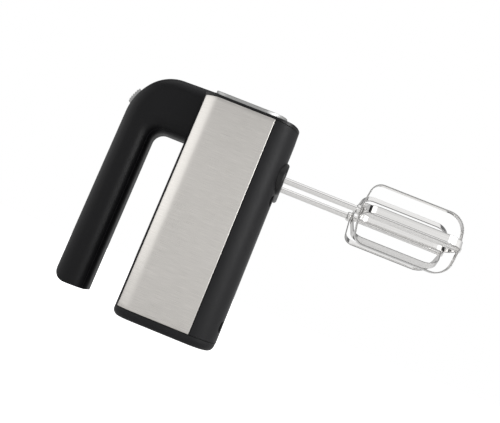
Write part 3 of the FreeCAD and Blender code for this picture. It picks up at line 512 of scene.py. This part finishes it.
# ---------------------------------------------------------------- speed control
# The grip holds a small circuit board and its suppressor capacitor, below the switch that
# the selector's carriage turns. The board is green glass-epoxy with tinned tracks.
def circuit_board(name):
    """Green lacquer over copper tracks, drawn as square cells with tinned lands in them."""
    finish, tree, shader, place = start_finish(name)
    tracks = tree.nodes.new("ShaderNodeTexVoronoi")
    tracks.distance = "CHEBYCHEV"
    cells_per_metre = 260.0
    tracks.inputs["Scale"].default_value = cells_per_metre
    tree.links.new(place, tracks.inputs["Vector"])
    land = remap(tree, tracks.outputs["Distance"], 1.0, 0.0, 0.16, 0.2)
    weave = grain(tree, place, (0.0006, 0.0006, 0.0006), 2.0)
    lacquer = blend_colours(tree, remap(tree, weave, 0.0, 1.0), (0.015, 0.09, 0.035), (0.03, 0.15, 0.06))
    tree.links.new(blend_colours(tree, land, lacquer, (0.55, 0.55, 0.52)), shader.inputs["Base Color"])
    tree.links.new(remap(tree, weave, 0.25, 0.4), shader.inputs["Roughness"])
    relief(tree, shader, land, 0.00003)
    return finish


dress(circuit_board("circuit_board_green"), "control_board")
film_blue = moulded("capacitor_epoxy", (0.05, 0.12, 0.30), 0.3, 0.5, cell=0.0015, worn=1.3)
dress(film_blue, "suppressor_capacitor")


# ---------------------------------------------------------------- beaters
# Each beater is a chromed steel shaft with two crossed loops of 6 by 1 mm strip, one just
# inside the other. The strip's long edges are rolled round; a washer and a riveted tip hold
# it. Beater b is turned an eighth of a turn, so that the two cages pass through each other.
def bent_loop(corners):
    """Points and outward normals of a closed outline whose corners are arcs.

    Each corner is (x, r, radius), counter-clockwise. Its arc starts where the incoming side
    is radius * tan(turn / 2) short of the corner, and a point on it at heading h is the
    centre plus radius * (sin h, -cos h).
    """
    points = []
    normals = []
    for i, (x, r, radius) in enumerate(corners):
        before = np.array(corners[i - 1][:2])
        here = np.array((x, r))
        after = np.array(corners[(i + 1) % len(corners)][:2])
        arrive = math.atan2(*(here - before)[::-1])
        leave = math.atan2(*(after - here)[::-1])
        turn = (leave - arrive + math.pi) % (2 * math.pi) - math.pi
        heading = arrive + turn * np.linspace(0.0, 1.0, max(4, int(turn * 14)))
        outward = np.stack([np.sin(heading), -np.cos(heading)], axis=1)
        start = here - radius * math.tan(turn / 2) * np.array((math.cos(arrive), math.sin(arrive)))
        centre = start - radius * outward[0]
        points.append(centre + radius * outward)
        normals.append(outward)
    return np.concatenate(points), np.concatenate(normals)


def strip_loop(name, corners, centre, turn):
    """A flat strip with round edges carried round a bent loop.

    Across the strip the section is a superellipse: half the thickness times cos to a small
    power, and half the width times sin to the same power. The loop is turned about X. Its
    faces point inwards.
    """
    thickness = 0.0010
    width = 0.0060
    path, normals = bent_loop(corners)
    path = path - normals * thickness / 2
    round_steps = 24
    phase = np.linspace(0.0, 2 * np.pi, round_steps, endpoint=False) + np.pi / round_steps
    squareness = 0.28
    out = thickness / 2 * np.sign(np.cos(phase)) * np.abs(np.cos(phase)) ** squareness
    side = width / 2 * np.sign(np.sin(phase)) * np.abs(np.sin(phase)) ** squareness
    ring = path[:, None, :] + normals[:, None, :] * out[None, :, None]
    across = np.broadcast_to(side, ring.shape[:2])
    y = across * math.cos(turn) - ring[..., 1] * math.sin(turn)
    z = across * math.sin(turn) + ring[..., 1] * math.cos(turn)
    points = np.stack([ring[..., 0], centre[1] + y, centre[2] + z], axis=-1).reshape(-1, 3)
    faces = grid_faces(len(path), round_steps, close_rows=True, close_columns=True)
    strip = put_mesh(name, points, faces)
    corner_vertex = np.zeros(len(strip.data.loops), int)
    strip.data.loops.foreach_get("vertex_index", corner_vertex)
    column = corner_vertex % round_steps
    places = np.stack([corner_vertex // round_steps, np.abs(side[column]) / (width / 2)], axis=1)
    strip.data.uv_layers.new(name="strip").data.foreach_set("uv", places.ravel())
    return strip


def turned_piece(name, profile, centre, steps=48):
    """A profile of (x, radius) points spun about a line along X, closed by its two end points.

    The spun faces point inwards and the flat ends outwards.
    """
    profile = np.array(profile, float)
    angle = np.linspace(0.0, 2 * np.pi, steps, endpoint=False)
    x = np.repeat(profile[:, 0], steps)
    y = (profile[:, 1][:, None] * np.cos(angle)).ravel()
    z = (profile[:, 1][:, None] * np.sin(angle)).ravel()
    points = np.stack([x, y, z], axis=1)
    ends = [[profile[0, 0], 0.0, 0.0], [profile[-1, 0], 0.0, 0.0]]
    points = np.concatenate([points, ends]) + [0.0, centre[1], centre[2]]
    first = len(profile) * steps
    last_ring = (len(profile) - 1) * steps
    here = np.arange(steps)
    after = (here + 1) % steps
    start_fan = np.stack([np.full(steps, first), after, here], axis=1).tolist()
    end_fan = np.stack([np.full(steps, first + 1), last_ring + here, last_ring + after], axis=1).tolist()
    faces = grid_faces(len(profile), steps, close_columns=True) + start_fan + end_fan
    return put_mesh(name, points, faces)


def bright_chrome(name, colour, roughness):
    """Chrome over steel drawn along X: bright, with drawing lines and water marks.

    The map called "strip" runs from 0 on a strip's middle to 1 on its rolled edges, which are
    rougher, with painted shade darkening their colour into dark edge lines along the strip.
    """
    finish, tree, shader, place = start_finish(name)
    lines = grain(tree, place, (0.08, 0.0009, 0.0009), 2.0)
    marks = grain(tree, place, (0.014, 0.014, 0.014), 4.0)
    strip_map = tree.nodes.new("ShaderNodeUVMap")
    strip_map.uv_map = "strip"
    across = tree.nodes.new("ShaderNodeSeparateXYZ")
    tree.links.new(strip_map.outputs["UV"], across.inputs["Vector"])
    # Painted shade: this mask darkens the strip's rolled edges into dark lines, and also roughens them.
    edge_shade_and_roughness = remap(tree, across.outputs["Y"], 0.0, 1.0, 0.90, 0.96)
    tone = blend_colours(tree, remap(tree, lines, 0.0, 1.0), shade(colour, 0.93), shade(colour, 1.06))
    tone = blend_colours(tree, remap(tree, marks, 0.0, 0.3), tone, shade(colour, 0.95))
    # Painted shade: the rolled edges are coloured at 0.42 of the chrome to draw dark edge lines.
    tone = blend_colours(tree, edge_shade_and_roughness, tone, shade(colour, 0.42))
    tree.links.new(tone, shader.inputs["Base Color"])
    gloss = tree.nodes.new("ShaderNodeMath")
    gloss.operation = "MULTIPLY_ADD"
    rougher_by = 0.25
    tree.links.new(edge_shade_and_roughness, gloss.inputs[0])
    gloss.inputs[1].default_value = rougher_by
    tree.links.new(remap(tree, marks, roughness, roughness + 0.05), gloss.inputs[2])
    tree.links.new(gloss.outputs[0], shader.inputs["Roughness"])
    shader.inputs["Metallic"].default_value = 1.0
    relief(tree, shader, lines, 0.0000006)
    return finish


beater_chrome = bright_chrome("beater_chrome", (0.94, 0.93, 0.915), 0.08)
loop_low, loop_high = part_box("beater_a_loop_1")
cage_radius = (loop_high.z - loop_low.z) / 2
half_hub = 0.003
shoulder_step = 0.0035
tip_step = 0.003
hub_bend = 0.006
shoulder_bend = 0.009
tip_bend = 0.015
loop_gap = 0.0013
for beater, side, turn in (("beater_a", -1, 0.0), ("beater_b", 1, math.radians(45))):
    centre = (0.0, side * abs(loop_low.y + loop_high.y) / 2, (loop_low.z + loop_high.z) / 2)
    for number, inset in ((1, 0.0), (2, loop_gap)):
        start = loop_low.x + inset
        tip = loop_high.x - inset
        corners = [
            (start, -half_hub, hub_bend),
            (start + shoulder_step, -cage_radius, shoulder_bend),
            (tip - tip_step, -cage_radius, tip_bend),
            (tip, -half_hub, hub_bend),
            (tip, half_hub, hub_bend),
            (tip - tip_step, cage_radius, tip_bend),
            (start + shoulder_step, cage_radius, shoulder_bend),
            (start, half_hub, hub_bend),
        ]
        quarter = turn + (number - 1) * math.pi / 2
        strip = strip_loop(f"{beater}_strip_{number}", corners, centre, quarter)
        strip.data.materials.append(beater_chrome)
        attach(strip, beater)
        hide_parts(f"{beater}_loop_{number}")
    washer_profile = [
        (start - 0.0046, 0.0026),
        (start - 0.0042, 0.0033),
        (start - 0.0034, 0.0038),
        (start - 0.0024, 0.0040),
        (start - 0.0016, 0.0039),
        (start - 0.0013, 0.0036),
    ]
    washer = turned_piece(beater + "_washer", washer_profile, centre)
    rivet_angle = np.linspace(0.0, np.pi / 2 - 0.05, 9)
    rivet_profile = [(tip - 0.0002, 0.0034)]
    rivet_profile += [(tip + 0.0002 + 0.0017 * math.sin(a), 0.0036 * math.cos(a)) for a in rivet_angle]
    rivet = turned_piece(beater + "_tip_rivet", rivet_profile, centre)
    for piece in (washer, rivet):
        piece.data.materials.append(beater_chrome)
        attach(piece, beater)
    dress(beater_chrome, beater + "_shaft")


# ---------------------------------------------------------------- floor, light and camera
# The mixer stands on its heel on a plain pale floor in a white studio. The lens sees white
# all round. The surfaces see a dimmer room with a dark ceiling, a grey wall behind, and soft
# lights at both sides and overhead.
def seen_directly(tree):
    """1 where the lens looks straight at the surface, 0 in reflections and for shading."""
    return tree.nodes.new("ShaderNodeLightPath").outputs["Is Camera Ray"]


def white_floor(name):
    """Matt translucent card lit from below, with faint fibres, brighter where the lens sees it."""
    finish, tree, shader, place = start_finish(name)
    fibres = grain(tree, place, (0.004, 0.004, 0.004), 3.0)
    tone = blend_colours(tree, remap(tree, fibres, 0.0, 1.0), (0.44, 0.44, 0.44), (0.46, 0.46, 0.46))
    tree.links.new(tone, shader.inputs["Base Color"])
    shader.inputs["Roughness"].default_value = 0.9
    shader.inputs["Specular IOR Level"].default_value = 0.0
    shader.inputs["Emission Color"].default_value = (1.0, 1.0, 1.0, 1.0)
    glow = remap(tree, seen_directly(tree), 0.35, 1.3, 0.0, 1.0)
    tree.links.new(glow, shader.inputs["Emission Strength"])
    return finish


reach = 6.0
floor_steps = 25
below_heel = 0.0004
floor_line = np.linspace(-reach, reach, floor_steps)
floor_x, floor_y = np.meshgrid(floor_line, floor_line, indexing="ij")
floor_points = np.stack([floor_x, floor_y, np.full_like(floor_x, -below_heel)], axis=-1).reshape(-1, 3)
floor = put_mesh("floor", floor_points, grid_faces(floor_steps, floor_steps))
floor.data.materials.append(white_floor("floor_white"))

room = bpy.data.worlds.new("soft_room")
bpy.context.scene.world = room
room.use_nodes = True
sky = room.node_tree
direction = sky.nodes.new("ShaderNodeTexCoord").outputs["Generated"]
toward = sky.nodes.new("ShaderNodeSeparateXYZ")
sky.links.new(direction, toward.inputs["Vector"])
front_to_sides = remap(sky, toward.outputs["Y"], 0.0, 1.0, -0.95, -0.4)
walls = blend_colours(sky, front_to_sides, (0.85, 0.85, 0.85), (1.0, 1.0, 1.0))
sides_to_back = remap(sky, toward.outputs["Y"], 0.0, 1.0, 0.2, 0.7)
walls = blend_colours(sky, sides_to_back, walls, (0.55, 0.55, 0.55))
walls_to_ceiling = remap(sky, toward.outputs["Z"], 0.0, 1.0, 0.16, 0.62)
studio = blend_colours(sky, walls_to_ceiling, walls, (0.16, 0.16, 0.165))
room_or_white = blend_colours(sky, seen_directly(sky), studio, (1.0, 1.0, 1.0))
background = sky.nodes["Background"]
sky.links.new(room_or_white, background.inputs["Color"])
background.inputs["Strength"].default_value = 1.0


def soft_light(name, place, aim, width, height, power):
    """A rectangular area light at a place, facing its aim."""
    lamp = bpy.data.lights.new(name, "AREA")
    lamp.shape = "RECTANGLE"
    lamp.size = width
    lamp.size_y = height
    lamp.energy = power
    holder = bpy.data.objects.new(name, lamp)
    bpy.context.scene.collection.objects.link(holder)
    holder.location = place
    holder.rotation_euler = (Vector(aim) - Vector(place)).to_track_quat("-Z", "Y").to_euler()


body_middle = (0.0, 0.0, 0.09)
soft_light("handle_side_light", (-1.1, -0.35, 0.35), body_middle, 1.5, 1.4, 3.0)
soft_light("beater_side_light", (1.2, -0.7, 0.5), body_middle, 0.5, 0.8, 7.0)
soft_light("streak_light", (0.72, -0.95, 0.35), body_middle, 0.22, 0.7, 1.3)
soft_light("overhead_light", (0.1, -0.2, 1.4), body_middle, 2.0, 2.0, 9.0)

camera_data = bpy.data.cameras.new("camera")
camera_data.sensor_width = 36.0
camera_data.lens = 46.7
camera = bpy.data.objects.new("camera", camera_data)
bpy.context.scene.collection.objects.link(camera)
pan = math.radians(-2.1)
tilt = math.radians(-7.3)
roll = math.radians(-22.03)
camera_place = (0.04478, -0.51468, 0.04582)
aim = Matrix.Rotation(math.radians(90), 4, "X") @ Matrix.Rotation(-pan, 4, "Y")
aim = aim @ Matrix.Rotation(-tilt, 4, "X") @ Matrix.Rotation(-roll, 4, "Z")
camera.matrix_world = Matrix.Translation(camera_place) @ aim
camera_data.clip_start = 0.01
bpy.context.scene.camera = camera
bpy.context.scene.view_settings.view_transform = "Standard"
